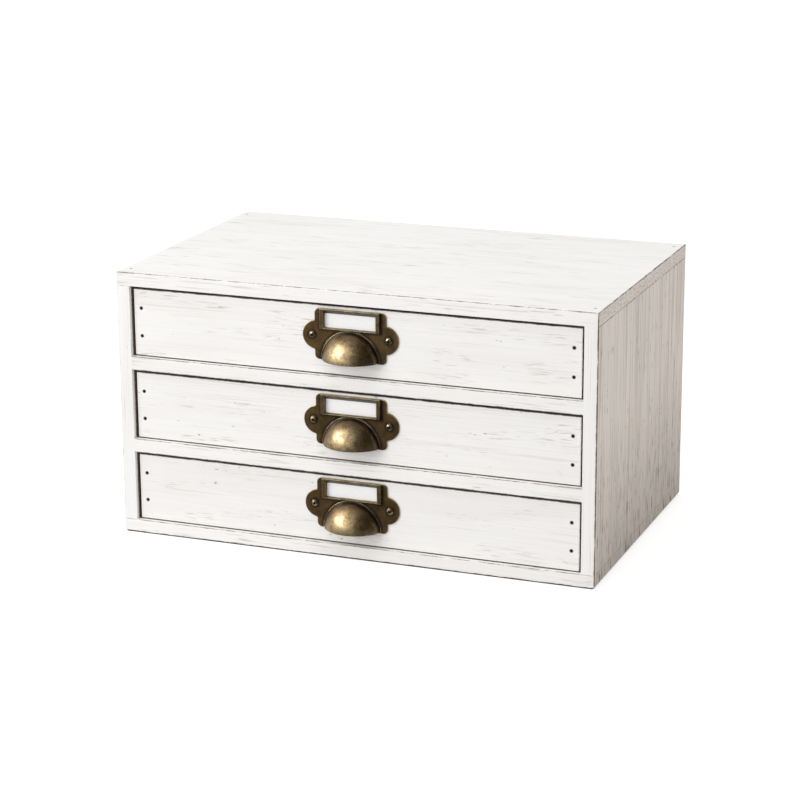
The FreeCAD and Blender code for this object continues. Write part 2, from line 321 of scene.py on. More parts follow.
@dataclass(frozen=True)
class RubbedWhitewash:
    """Thin white wash brushed on brown-stained softwood boards and rubbed back.

    The eye gets a matt chalky white with faint brush lines, patches of short broken lines
    where the stain shows through, and thin brown wear along the arrises.

    Attributes:
        name: The material's name.
        grain: The axis that the board's grain follows.
        seed: Keeps its pattern apart from its neighbours'.
        worn: Boxes whose arrises are worn, some of them also darkened as painted shade.
        layers: The marks in the wash, the lowest first.
        bare: Limits that all hold where the board was never washed.
        thin: Limits of which one holds where the wash is thin.
        rims: The rims round its brads.
        raw_wood: The bare wood between its growth lines.
        raw_grain: Its growth lines.
        wash: The wash.
        thin_wash: The wash where it is thin.
        rim: The rims round the brads.
    """

    name: str
    grain: Axis
    seed: float
    worn: tuple[WearAndShadeBox, ...]
    layers: tuple[Marks, ...]
    bare: tuple[Limit, ...] = ()
    thin: tuple[Limit, ...] = ()
    rims: BradMarks | None = None
    raw_wood: str = "#A08A72"
    raw_grain: str = "#846E57"
    wash: str = "#F8F6F4"
    thin_wash: str = "#FAEEE3"
    rim: str = "#231C18"

    def wear(self, recipe: Recipe, box: WearAndShadeBox) -> Socket:
        """Masks the arrises of one box, where the wash is worn away, and for the darker boxes painted shade
        too.

        Args:
            recipe: The material being made.
            box: The worn box.

        Returns:
            1 where the wood shows and 0 where the wash is whole.
        """
        add = recipe.add
        centre = tuple((low + high) / 2 for low, high in zip(box.low, box.high))
        half = tuple((high - low) / 2 for low, high in zip(box.low, box.high))
        offset = add("VectorMath", {0: recipe.mm, 1: centre}, operation="SUBTRACT")
        offset = add("VectorMath", {0: offset}, operation="ABSOLUTE")
        gap = add("VectorMath", {0: half, 1: offset}, operation="SUBTRACT")
        gap = add("VectorMath", {0: gap}, operation="ABSOLUTE")
        parts = add("SeparateXYZ", {0: gap}).node.outputs
        # The second smallest of the distances to the box's planes is the distance to an arris
        near = add("Math", {0: parts[0], 1: parts[1]}, operation="MINIMUM")
        far = add("Math", {0: parts[0], 1: parts[1]}, operation="MAXIMUM")
        far = add("Math", {0: far, 1: parts[2]}, operation="MINIMUM")
        to_arris = add("Math", {0: near, 1: far}, operation="MAXIMUM")
        # The wear comes and goes in patches 11 mm across
        patches = add("TexNoise", {"Vector": recipe.mm, "Scale": 1 / 11, "Detail": 5.0, "Roughness": 0.75})
        reach = add("MapRange", {0: patches, 1: 0.34, 2: 0.70, 3: box.least, 4: box.most}, clamp=False)
        excess = add("Math", {0: reach, 1: to_arris}, operation="SUBTRACT")
        # The edge of the wear is soft over 0.38 mm
        return add(
            "MapRange",
            {0: excess, 1: -0.16, 2: 0.22, 4: box.amount},
            interpolation_type="SMOOTHSTEP",
        )

    def past(self, recipe: Recipe, limit: Limit) -> Socket:
        """Masks one side of a limit.

        Args:
            recipe: The material being made.
            limit: The limit.

        Returns:
            1 on the side that is meant and 0 on the other.
        """
        add = recipe.add
        place = add("SeparateXYZ", {0: recipe.mm}, out=limit.axis.value)
        if limit.ragged:
            # It wanders in steps of about 1.7 mm
            wander = add("TexNoise", {"Vector": recipe.mm, "Scale": 0.6, "Detail": 3.0})
            wander = add("MapRange", {0: wander, 1: 0.3, 2: 0.7, 3: -limit.ragged, 4: limit.ragged})
            place = add("Math", {0: place, 1: wander}, operation="ADD")
        beyond = add("Math", {0: place, 1: limit.value}, operation="SUBTRACT")
        beyond = add("Math", {0: beyond, 1: limit.side.value}, operation="MULTIPLY")
        # The limit itself is sharp, 0.06 mm wide
        return add("MapRange", {0: beyond, 1: -0.03, 2: 0.03})

    def round_brads(self, recipe: Recipe, marks: BradMarks) -> Socket:
        """Masks the rims round the brads.

        Args:
            recipe: The material being made.
            marks: The brads' places.

        Returns:
            The marks' amount at a brad and 0 away from it.
        """
        add = recipe.add
        across = tuple(1.0 if spread else 0.0 for spread in marks.spread)
        offset = add("VectorMath", {0: recipe.mm, 1: marks.centre}, operation="SUBTRACT")
        offset = add("VectorMath", {0: offset}, operation="ABSOLUTE")
        offset = add("VectorMath", {0: offset, 1: marks.spread}, operation="SUBTRACT")
        offset = add("VectorMath", {0: offset, 1: across}, operation="MULTIPLY")
        away = add("VectorMath", {0: offset}, out="Value", operation="LENGTH")
        return add(
            "MapRange",
            {0: away, 1: marks.radius, 2: marks.radius + 0.5, 3: marks.amount, 4: 0.0},
            interpolation_type="SMOOTHSTEP",
        )

    def material(self) -> bpy.types.Material:
        """Makes the board's material.

        Returns:
            The material.
        """
        recipe = Recipe(self.name)
        add = recipe.add
        thin: Socket | float = 0.0
        for limit in self.thin:
            thin = add("Math", {0: self.past(recipe, limit), 1: thin}, operation="MAXIMUM")
        colour = add("Mix", {0: thin, 6: srgb(self.wash), 7: srgb(self.thin_wash)}, out=2, data_type="RGBA")
        # The foot of the boards, fading out 110 mm up, where thin wash gets more marks and is darkened as
        # painted shade
        up = add("SeparateXYZ", {0: recipe.mm}, out=2)
        foot = add("MapRange", {0: up, 1: 110.0, 2: 0.0})
        gone: Socket | float = 0.0
        for shift, marks in enumerate(self.layers):
            level = recipe.streaks(marks.grain or self.grain, marks.size, self.seed + shift, 3.0)
            shown = add(
                "MapRange",
                {0: level, 1: marks.levels[0], 2: marks.levels[1]},
                interpolation_type="SMOOTHSTEP",
            )
            amount: Socket | float = marks.amount
            if marks.patch:
                level = recipe.streaks(self.grain, marks.patch, self.seed - shift)
                amount = add(
                    "MapRange",
                    {0: level, 1: marks.cover[0], 2: marks.cover[1], 4: marks.amount},
                    interpolation_type="SMOOTHSTEP",
                )
            if marks.on_thin or marks.at_foot:
                spread = add(
                    "Math",
                    {0: foot, 1: marks.at_foot, 2: marks.on_thin},
                    operation="MULTIPLY_ADD",
                )
                spread = add("Math", {0: thin, 1: spread}, operation="MULTIPLY")
                amount = add("Math", {0: amount, 1: spread}, operation="MAXIMUM")
            shown = add("Math", {0: shown, 1: amount}, operation="MULTIPLY")
            colour = add("Mix", {0: shown, 6: colour, 7: srgb(marks.colour)}, out=2, data_type="RGBA")
            gone = add("Math", {0: shown, 1: gone}, operation="MAXIMUM")

        over = []
        # Worn arrises, some darkened further as painted shade
        for box in self.worn:
            worn = self.wear(recipe, box)
            gone = add("Math", {0: worn, 1: gone}, operation="MAXIMUM")
            over.append((worn, srgb(box.colour)))
        bare: Socket | float = 1.0 if self.bare else 0.0
        for limit in self.bare:
            bare = add("Math", {0: self.past(recipe, limit), 1: bare}, operation="MULTIPLY")
        # Growth rings of the softwood, 2.2 mm apart
        rings = recipe.streaks(self.grain, (90.0, 2.2), self.seed, 4.0)
        ringed = add("MapRange", {0: rings, 1: 0.35, 2: 0.68}, interpolation_type="SMOOTHSTEP")
        raw = add(
            "Mix",
            {0: ringed, 6: srgb(self.raw_wood), 7: srgb(self.raw_grain)},
            out=2,
            data_type="RGBA",
        )
        if self.rims:
            over.append((self.round_brads(recipe, self.rims), srgb(self.rim)))
        for shown, tone in (*over, (bare, raw)):
            colour = add("Mix", {0: shown, 6: colour, 7: tone}, out=2, data_type="RGBA")

        whole = add("Math", {0: 1.0, 1: gone}, operation="SUBTRACT")
        bump = add("Bump", {"Strength": 0.5, "Distance": 0.00012, "Height": whole})
        rough = add("MapRange", {0: gone, 3: 0.62, 4: 0.8})
        shader = add(
            "BsdfPrincipled",
            {"Base Color": colour, "Roughness": rough, "IOR": 1.46, "Normal": bump},
        )
        return recipe.finish(shader)


@dataclass(frozen=True)
class PlanedSoftwood:
    """Planed, unfinished softwood for the drawer boxes.

    The eye gets a pale warm tan with darker growth lines and a dry, even surface.

    Attributes:
        name: The material's name.
        grain: The axis that the grain follows.
        seed: Keeps its pattern apart from its neighbours'.
        early: The wood between its growth lines.
        late: Its growth lines.
        pore: Its pores.
    """

    name: str
    grain: Axis
    seed: float
    early: str = "#CDB087"
    late: str = "#A88458"
    pore: str = "#8A6943"

    def material(self) -> bpy.types.Material:
        """Makes the wood's material.

        Returns:
            The material.
        """
        recipe = Recipe(self.name)
        add = recipe.add
        # Growth lines 3 mm apart, bent by a slow drift, and pores half a millimetre wide
        drift = recipe.streaks(self.grain, (160.0, 24.0), self.seed)
        rings = recipe.streaks(self.grain, (120.0, 3.0), self.seed, 3.0)
        pores = recipe.streaks(self.grain, (14.0, 0.5), self.seed)
        line = add("Math", {0: rings, 1: drift}, operation="ADD")
        line = add("MapRange", {0: line, 1: 0.88, 2: 1.14, 4: 0.8})
        colour = add("Mix", {0: line, 6: srgb(self.early), 7: srgb(self.late)}, out=2, data_type="RGBA")
        pore = add("MapRange", {0: pores, 1: 0.62, 2: 0.75, 4: 0.5})
        colour = add("Mix", {0: pore, 6: colour, 7: srgb(self.pore)}, out=2, data_type="RGBA")
        bump = add("Bump", {"Strength": 0.4, "Distance": 0.0001, "Height": line})
        shader = add(
            "BsdfPrincipled",
            {"Base Color": colour, "Roughness": 0.68, "IOR": 1.46, "Normal": bump},
        )
        return recipe.finish(shader)


@dataclass(frozen=True)
class DullSteel:
    """Darkened steel of the brads, dull and faintly rusted.

    The eye gets near-black dots with a hint of brown.

    Attributes:
        name: The material's name.
        dark: The steel.
        rust: Its rust.
    """

    name: str
    dark: str = "#1E1B19"
    rust: str = "#4A3527"

    def material(self) -> bpy.types.Material:
        """Makes the steel's material.

        Returns:
            The material.
        """
        recipe = Recipe(self.name)
        add = recipe.add
        # Rust in specks of 0.6 mm
        speck = add("TexNoise", {"Vector": recipe.mm, "Scale": 1 / 0.6, "Detail": 3.0})
        rusted = add("MapRange", {0: speck, 1: 0.5, 2: 0.7, 4: 0.8})
        colour = add("Mix", {0: rusted, 6: srgb(self.dark), 7: srgb(self.rust)}, out=2, data_type="RGBA")
        rough = add("MapRange", {0: speck, 1: 0.3, 2: 0.7, 3: 0.45, 4: 0.75})
        shader = add("BsdfPrincipled", {"Base Color": colour, "Metallic": 0.7, "Roughness": rough})
        return recipe.finish(shader)


@dataclass(frozen=True)
class CardPaper:
    """Smooth white card, cut to size.

    The eye gets a soft neutral white with a faint fibre.

    Attributes:
        name: The material's name.
        white: The card.
        fibre: Its fibres.
    """

    name: str
    white: str = "#FFFEFD"
    fibre: str = "#FAF8F6"

    def material(self) -> bpy.types.Material:
        """Makes the card's material.

        Returns:
            The material.
        """
        recipe = Recipe(self.name)
        add = recipe.add
        # Fibres are far finer, so they are drawn as 1.5 mm clouds
        cloud = add("TexNoise", {"Vector": recipe.mm, "Scale": 1 / 1.5, "Detail": 4.0})
        mix = add("MapRange", {0: cloud, 1: 0.4, 2: 0.7, 4: 0.6})
        colour = add("Mix", {0: mix, 6: srgb(self.white), 7: srgb(self.fibre)}, out=2, data_type="RGBA")
        bump = add("Bump", {"Strength": 0.2, "Distance": 0.00003, "Height": cloud})
        shader = add("BsdfPrincipled", {"Base Color": colour, "Roughness": 0.7, "Normal": bump})
        return recipe.finish(shader)


def coat(piece: bpy.types.Object, material: bpy.types.Material) -> None:
    """Gives every material slot of a piece one material.

    Args:
        piece: The piece.
        material: Its material.
    """
    if not piece.material_slots:
        piece.data.materials.append(material)
    for held in piece.material_slots:
        held.material = material


def piece_from(mesh: bmesh.types.BMesh, name: str, smooth_below: float) -> bpy.types.Object:
    """Turns a finished bmesh into a piece at the origin, in metres, and frees it.

    Args:
        mesh: The bmesh, in millimetres.
        name: The piece's name.
        smooth_below: Edges that turn by less than this many degrees are shaded smooth.

    Returns:
        The piece.
    """
    bmesh.ops.scale(mesh, vec=(MM, MM, MM), verts=mesh.verts)
    bmesh.ops.recalc_face_normals(mesh, faces=mesh.faces)
    data = bpy.data.meshes.new(name)
    for face in mesh.faces:
        face.smooth = True
    mesh.to_mesh(data)
    mesh.free()
    data.set_sharp_from_angle(angle=math.radians(smooth_below))
    piece = bpy.data.objects.new(name, data)
    bpy.context.scene.collection.objects.link(piece)
    return piece


class Pen:
    """Draws a chain of edges through runs and arcs, in millimetres."""

    def __init__(self, mesh: bmesh.types.BMesh, start: Point, axis: Point) -> None:
        """Puts the pen down.

        Args:
            mesh: The bmesh to draw in.
            start: The chain's first point.
            axis: What its arcs turn about.
        """
        self.mesh = mesh
        self.axis = Vector(axis)
        self.first = mesh.verts.new(start)
        self.tip = self.first
        self.edges: Loop = []

    def run(self, *places: Point) -> "Pen":
        """Draws straight on to each place.

        Args:
            places: The points to pass through.

        Returns:
            The pen.
        """
        for place in places:
            made = bmesh.ops.extrude_vert_indiv(self.mesh, verts=[self.tip])
            self.tip = made["verts"][0]
            self.tip.co = place
            self.edges += made["edges"]
        return self

    def arc(self, centre: Point, degrees: float, steps: int) -> "Pen":
        """Turns the tip about a centre.

        Args:
            centre: The arc's centre.
            degrees: How far it turns, by the right hand about the pen's axis.
            steps: How many edges it takes.

        Returns:
            The pen.
        """
        before = set(self.mesh.edges)
        made = bmesh.ops.spin(
            self.mesh,
            geom=[self.tip],
            cent=centre,
            axis=self.axis,
            angle=math.radians(degrees),
            steps=steps,
        )
        self.edges += [edge for edge in self.mesh.edges if edge not in before]
        self.tip = next(item for item in made["geom_last"] if isinstance(item, bmesh.types.BMVert))
        return self

    def close(self) -> Loop:
        """Joins the tip to the first point.

        Returns:
            The closed loop's edges.
        """
        self.edges.append(self.mesh.edges.new((self.tip, self.first)))
        return self.edges


def skin(mesh: bmesh.types.BMesh, loops: Sequence[Loop]) -> None:
    """Joins each loop to the next with faces.

    Args:
        mesh: The bmesh that holds the loops.
        loops: The loops in order, with as many edges each.
    """
    for lower, upper in zip(loops, loops[1:]):
        bmesh.ops.bridge_loops(mesh, edges=lower + upper)


def fill(mesh: bmesh.types.BMesh, loops: Sequence[Loop]) -> list[bmesh.types.BMFace]:
    """Fills a flat outline, with a hole for each further loop.

    Args:
        mesh: The bmesh that holds the loops.
        loops: The outline and its holes.

    Returns:
        The new faces.
    """
    edges = [edge for loop in loops for edge in loop]
    made = bmesh.ops.triangle_fill(
        mesh, use_beauty=True, use_dissolve=False, edges=edges, normal=(0, -1, 0)
    )
    return [item for item in made["geom"] if isinstance(item, bmesh.types.BMFace)]


def ring(mesh: bmesh.types.BMesh, radius: float, out: float, sides: int) -> Loop:
    """Draws a circle about the Y axis.

    Args:
        mesh: The bmesh to draw in.
        radius: The circle's radius.
        out: How far it stands out towards -Y.
        sides: How many edges it has.

    Returns:
        Its edges.
    """
    place = Matrix.Translation((0, -out, 0)) @ Matrix.Rotation(math.radians(90), 4, "X")
    made = bmesh.ops.create_circle(mesh, cap_ends=False, segments=sides, radius=radius, matrix=place)
    return list({edge for vert in made["verts"] for edge in vert.link_edges})


def pour(own: bmesh.types.BMesh, mesh: bmesh.types.BMesh) -> None:
    """Adds one bmesh to another and frees the first.

    Args:
        own: The bmesh that is used up.
        mesh: The bmesh that gets its faces.
    """
    made = bpy.data.meshes.new("poured")
    own.to_mesh(made)
    own.free()
    mesh.from_mesh(made)
    bpy.data.meshes.remove(made)


def mark_edges(mesh: bmesh.types.BMesh) -> None:
    """Stores where the surface turns sharply outwards, which hands rub, and inwards, where dirt gathers and
    shade is painted.

    Args:
        mesh: The bmesh.
    """
    bmesh.ops.recalc_face_normals(mesh, faces=mesh.faces)
    rub = mesh.verts.layers.float.new("rub")
    hollow = mesh.verts.layers.float.new("hollow")
    # The turns, in radians, at which each begins, and how much more makes it full
    (rub_from, rub_more), (hollow_from, hollow_more) = (0.12, 0.3), (0.25, 0.4)
    for vert in mesh.verts:
        turns = [edge.calc_face_angle_signed(0.0) for edge in vert.link_edges]
        vert[rub] = min(1.0, max(0.0, (max(turns) - rub_from) / rub_more))
        vert[hollow] = min(1.0, max(0.0, (-min(turns) - hollow_from) / hollow_more))


@dataclass(frozen=True)
class CupPull:
    """A label-holder cup pull with its two screws, on a drawer's face.

    Measured in millimetres from the middle of the screw line, on the drawer's face.

    Attributes:
        plate_thickness: The plate's thickness.
        plate_half: Half its width without the ears.
        plate_top: Its upper edge.
        plate_bottom: How far down its lower edge lies.
        corner: The radius of its corners.
        ear: The ears' radius.
        ear_x: How far their middles lie to each side.
        ear_joint: The radius of the hollows where the ears meet the plate.
        bevel: The plate's rounded arris.
        screw_x: How far the screws lie to each side.
        frame_half: Half the frame's width.
        frame_low: Its lower edge. Its upper edge is the plate's.
        frame_rise: How far out its face lies.
        frame_wall: Its wall's thickness at the plate.
        window: Half the window's width, its lower and its upper edge, at the frame's face.
        well_foot: The same at the foot of the well.
        well_out: How far out the well's foot lies.
        cup_radius: The cup's radius, about the middle of the plate's lower edge.
        cup_out: How far out its crown lies.
        shoulder: The radius of its steep side, before the flatter crown.
        cup_wall: Its wall's thickness.
        lip_rise: How far over the plate's lower edge it is cut off.
        rim: Its flange's radius.
        rim_out: How far out the flange's face lies.
        screw_radius: The radius of a screw's head.
        screw_rise: The head's height.
        screw_length: The shank's length.
        shank: The shank's radius.
    """

    plate_thickness: float = 1.0
    plate_half: float = 26.9
    plate_top: float = 19.4
    plate_bottom: float = 17.5
    corner: float = 3.5
    ear: float = 10.4
    ear_x: float = 25.65
    ear_joint: float = 1.0
    bevel: float = 0.35
    screw_x: float = 28.7
    frame_half: float = 22.4
    frame_low: float = 4.8
    frame_rise: float = 3.2
    frame_wall: float = 0.9
    window: tuple[float, float, float] = (19.6, 5.6, 18.1)
    well_foot: tuple[float, float, float] = (19.25, 6.0, 16.0)
    well_out: float = 0.5
    cup_radius: float = 21.0
    cup_out: float = 16.0
    shoulder: float = 11.0
    cup_wall: float = 1.0
    lip_rise: float = 0.8
    rim: float = 22.2
    rim_out: float = 1.5
    screw_radius: float = 2.6
    screw_rise: float = 1.7
    screw_length: float = 8.5
    shank: float = 1.3

    def plate_outline(self, mesh: bmesh.types.BMesh, inset: float, out: float) -> Loop:
        """Draws the plate's outline: corners, ears and the notch behind the cup.

        Args:
            mesh: The bmesh to draw in.
            inset: How far inside the full outline.
            out: How far it stands out from the drawer's face.

        Returns:
            The loop's edges.
        """
        half, top, bottom = self.plate_half - inset, self.plate_top - inset, self.plate_bottom - inset
        turn_x, joint_x = self.plate_half - self.corner, self.plate_half + self.ear_joint
        reach = self.ear + self.ear_joint
        joint_z = math.sqrt(reach**2 - (joint_x - self.ear_x) ** 2)
        joint_turn = math.degrees(math.atan2(joint_z, joint_x - self.ear_x))
        notch = self.cup_radius - self.cup_wall + inset
        notch_start = math.asin(inset / notch)
        y = -out
        held = set(mesh.edges)
        pen = Pen(mesh, (0, y, top), (0, 1, 0))
        pen.run((turn_x, y, top)).arc((turn_x, y, self.plate_top - self.corner), 90, 8)
        pen.run((half, y, joint_z)).arc((joint_x, y, joint_z), -joint_turn, 6)
        pen.arc((self.ear_x, y, 0), 2 * joint_turn, 34)
        pen.arc((joint_x, y, -joint_z), -joint_turn, 6)
        low = self.corner - self.plate_bottom
        pen.run((half, y, low)).arc((turn_x, y, low), 90, 8)
        centre = (0, y, -self.plate_bottom)
        pen.run((notch * math.cos(notch_start), y, -bottom))
        pen.arc(centre, math.degrees(notch_start) - 90, 24)
        pen.tip.co.x = 0
        bmesh.ops.mirror(
            mesh,
            geom=[*{vert for edge in pen.edges for vert in edge.verts}, *pen.edges],
            matrix=Matrix(),
            merge_dist=0.001,
            axis="X",
        )
        return [edge for edge in mesh.edges if edge not in held]

    def box_outline(
        self, mesh: bmesh.types.BMesh, half: float, low: float, high: float, corner: float, out: float
    ) -> Loop:
        """Draws a rectangle with rounded corners.

        Args:
            mesh: The bmesh to draw in.
            half: Half its width.
            low: Its lower edge.
            high: Its upper edge.
            corner: Its corners' radius.
            out: How far it stands out from the drawer's face.

        Returns:
            The loop's edges.
        """
        x, y = half - corner, -out
        pen = Pen(mesh, (-x, y, high), (0, 1, 0))
        pen.run((x, y, high)).arc((x, y, high - corner), 90, 4)
        pen.run((half, y, low + corner)).arc((x, y, low + corner), 90, 4)
        pen.run((-x, y, low)).arc((-x, y, low + corner), 90, 4)
        pen.run((-half, y, high - corner)).arc((-x, y, high - corner), 67.5, 3)
        return pen.close()

    def add_plate(self, mesh: bmesh.types.BMesh) -> None:
        """Builds the plate with a rounded arris and the opening under the frame.

        Args:
            mesh: The bmesh to build in.
        """
        thick, round_off = self.plate_thickness, self.bevel
        steps = [(0.0, 0.0), (0.0, thick - round_off)]
        for turn in (30, 60, 90):
            turned = math.radians(turn)
            steps.append((round_off * (1 - math.cos(turned)), thick - round_off * (1 - math.sin(turned))))
        loops = [self.plate_outline(mesh, inset, out) for inset, out in steps]
        skin(mesh, loops)
        wall = self.frame_wall
        hole = (self.frame_half - wall, self.frame_low + wall, self.plate_top - wall, 0.3)
        holes = [self.box_outline(mesh, *hole, out) for out in (0.0, thick)]
        skin(mesh, holes)
        fill(mesh, [loops[0], holes[0]])
        face = fill(mesh, [loops[-1], holes[1]])
        # A narrow strip round the face keeps the rub of its edges from spreading inwards
        bmesh.ops.inset_region(
            mesh, faces=face, thickness=0.3, depth=0.0, use_boundary=True, use_even_offset=True
        )

    def add_frame(self, mesh: bmesh.types.BMesh) -> None:
        """Builds the raised frame, whose window narrows to a well round the card.

        Args:
            mesh: The bmesh to build in.
        """
        rise, wall, well = self.frame_rise, self.frame_wall, self.well_out
        outer = (self.frame_half, self.frame_low, self.plate_top)
        upper = tuple(top + (foot - top) / 6 for top, foot in zip(self.window, self.well_foot))
        # Each ring's box, how much bigger it is drawn and how far out. No two rings lie in one
        # plane, because a bridge between such rings may twist
        steps = [
            (outer, 0.0, 0.9),
            (outer, 0.0, rise - 0.35),
            (outer, -0.1, rise - 0.12),
            (outer, -0.32, rise - 0.02),
            (outer, -0.42, rise - 0.01),
            (self.window, 0.34, rise),
            (self.window, 0.26, rise - 0.005),
            (self.window, 0.08, rise - 0.06),
            (self.window, 0.0, rise - 0.22),
            (upper, 0.0, rise - 0.65),
            (self.well_foot, 0.0, well),
            (outer, -wall - 0.05, well - 0.03),
            (outer, -wall - 0.05, 0.85),
        ]
        loops = [
            self.box_outline(mesh, box[0] + grow, box[1] - grow, box[2] + grow, 0.5, out)
            for box, grow, out in steps
        ]
        skin(mesh, [*loops, loops[0]])

    def rub_and_shade_frame(self, mesh: bmesh.types.BMesh) -> None:
        """Stores less rub on the frame but more at the window's sill, which paints a highlight there, and
        paints shade in the well but for the sill.

        Args:
            mesh: The bmesh, with its edges marked.
        """
        half, low, high = self.window
        near_face = self.frame_rise - 0.4
        rub, hollow = (mesh.verts.layers.float[name] for name in ("rub", "hollow"))
        for vert in mesh.verts:
            x, out, z = abs(vert.co.x), -vert.co.y, vert.co.z
            if x < half and low + 1.0 < z < high and self.well_out - 0.01 < out < near_face:
                # The well, painted dark as shade
                vert[hollow] = 1.0
            elif x < half + 0.4 and low - 0.4 < z < high + 0.4 and out > near_face:
                # The window's edge, rubbed a little, and much more at the sill, which paints a highlight
                # there
                vert[rub] *= 0.7 if z < low + 0.5 else 0.15
            elif x < self.frame_half + 0.1 and z > self.frame_low - 0.1 and out > near_face:
                # The frame's outer edge
                vert[rub] *= 0.6

    def add_cup(self, mesh: bmesh.types.BMesh) -> None:
        """Spins the cup's wall with its flange, cuts it at the lip and rounds the lip.

        Args:
            mesh: The bmesh to build in.
        """
        wall, rim, rim_out = self.cup_wall, self.rim, self.rim_out
        crown = (self.cup_radius**2 + self.cup_out**2 - 2 * self.cup_radius * self.shoulder) / (
            2 * (self.cup_out - self.shoulder)
        )
        crown_y = crown - self.cup_out
        side_x = self.cup_radius - self.shoulder
        turn = math.degrees(math.atan2(crown_y, side_x))
        cove, edge = 0.5, 0.35
        # The inner wall stops this many degrees short, which leaves it 0.4 mm off the drawer's face
        short = 2.3
        start = math.asin((rim_out + cove) / self.shoulder)
        foot = (side_x + self.shoulder * math.cos(start), -rim_out - cove, 0)
        own = bmesh.new()
        pen = Pen(own, (0, wall - self.cup_out, 0), (0, 0, 1))
        pen.arc((0, crown_y, 0), 90 - turn, 16).arc((side_x, 0, 0), turn - short, 8)
        pen.run((rim, -0.4, 0), (rim, edge - rim_out, 0)).arc((rim - edge, edge - rim_out, 0), -90, 4)
        pen.run((foot[0] + cove + 0.1, -rim_out, 0), (foot[0] + 0.17, -rim_out - 0.15, 0), foot)
        pen.arc((side_x, 0, 0), math.degrees(start) - turn, 10)
        pen.arc((0, crown_y, 0), turn - 90, 16)
        geometry = [*own.verts, *own.edges]
        bmesh.ops.spin(own, geom=geometry, cent=(0, 0, 0), axis=(0, 1, 0), angle=-math.pi, steps=60)
        bmesh.ops.remove_doubles(own, verts=own.verts, dist=0.001)
        cut = bmesh.ops.bisect_plane(
            own,
            geom=[*own.verts, *own.edges, *own.faces],
            dist=0.0001,
            plane_co=(0, 0, self.lip_rise),
            plane_no=(0, 0, 1),
            clear_inner=True,
        )
        edges = [item for item in cut["geom_cut"] if isinstance(item, bmesh.types.BMEdge)]
        lip = bmesh.ops.contextual_create(own, geom=edges)["faces"]
        lip_edges = [
            edge for face in lip for edge in face.edges if max(v.co.y for v in edge.verts) < foot[1] - 0.2
        ]
        bmesh.ops.bevel(
            own,
            geom=lip_edges,
            offset=0.3,
            offset_type="OFFSET",
            affect="EDGES",
            segments=3,
            profile=0.5,
            material=-1,
            clamp_overlap=True,
        )
        bmesh.ops.translate(own, vec=(0, 0, -self.plate_bottom), verts=own.verts)
        pour(own, mesh)

    def casting(self, name: str, mounting: Vector) -> bpy.types.Object:
        """Builds the whole casting: plate, frame and cup.

        Args:
            name: The piece's name.
            mounting: Where the middle of the screw line lies on the drawer's face.

        Returns:
            The piece.
        """
        mesh = bmesh.new()
        self.add_plate(mesh)
        self.add_frame(mesh)
        self.add_cup(mesh)
        mark_edges(mesh)
        self.rub_and_shade_frame(mesh)
        bmesh.ops.translate(mesh, vec=mounting, verts=mesh.verts)
        piece = piece_from(mesh, name, 42)
        keep = piece.modifiers.new("even_shading", "WEIGHTED_NORMAL")
        keep.keep_sharp = True
        return piece

    def add_screw(self, mesh: bmesh.types.BMesh, place: Vector, turn: float) -> None:
        """Builds a round-head screw with a cross recess.

        Args:
            mesh: The bmesh to build in.
            place: Where its head seats.
            turn: How far its recess is turned, in degrees.
        """
        sides, arm = 24, 1.35
        head, rise, end = self.screw_radius, self.screw_rise, -self.screw_length
        own = bmesh.new()
        # The shank ends a hair under the head's seat, because a bridge between two rings in one
        # plane may twist
        steps = [(0.25, end), (self.shank, end + 1.6), (self.shank, -0.05), (head - 0.15, 0.0)]
        ball = (head**2 + rise**2) / (2 * rise)
        for radius in (head, 2.52, 2.35, 2.1, 1.8, 1.55):
            steps.append((radius, max(0.12, rise - ball + math.sqrt(ball**2 - radius**2))))
        loops = [ring(own, radius, out, sides) for radius, out in steps]
        for scale, out in ((1.0, rise - 0.28), (0.93, rise - 0.5), (0.5, 0.55)):
            cross = ring(own, 1.0, out, sides)
            for vert in {vert for edge in cross for vert in edge.verts}:
                angle = (math.atan2(vert.co.z, vert.co.x) + math.pi / 4) % (math.pi / 2) - math.pi / 4
                slot_half = arm * math.tan(math.radians(15))
                reach = min(arm / math.cos(angle), slot_half / max(1e-6, abs(math.sin(angle))))
                vert.co.x *= reach * scale
                vert.co.z *= reach * scale
            loops.append(cross)
        skin(own, loops)
        for loop in (loops[0], loops[-1]):
            bmesh.ops.contextual_create(own, geom=loop)
        turned = Matrix.Rotation(math.radians(turn), 3, "Y")
        bmesh.ops.rotate(own, cent=(0, 0, 0), matrix=turned, verts=own.verts)
        bmesh.ops.translate(own, vec=place, verts=own.verts)
        pour(own, mesh)

    def screws(self, name: str, mounting: Vector, turns: tuple[float, float]) -> bpy.types.Object:
        """Builds the pull's two screws.

        Args:
            name: The piece's name.
            mounting: Where the middle of the screw line lies on the drawer's face.
            turns: How far each recess is turned, in degrees.

        Returns:
            The piece.
        """
        mesh = bmesh.new()
        for side, turn in zip((-1, 1), turns):
            seat = mounting + Vector((side * self.screw_x, -self.plate_thickness, 0))
            self.add_screw(mesh, seat, turn)
        mark_edges(mesh)
        return piece_from(mesh, name, 40)


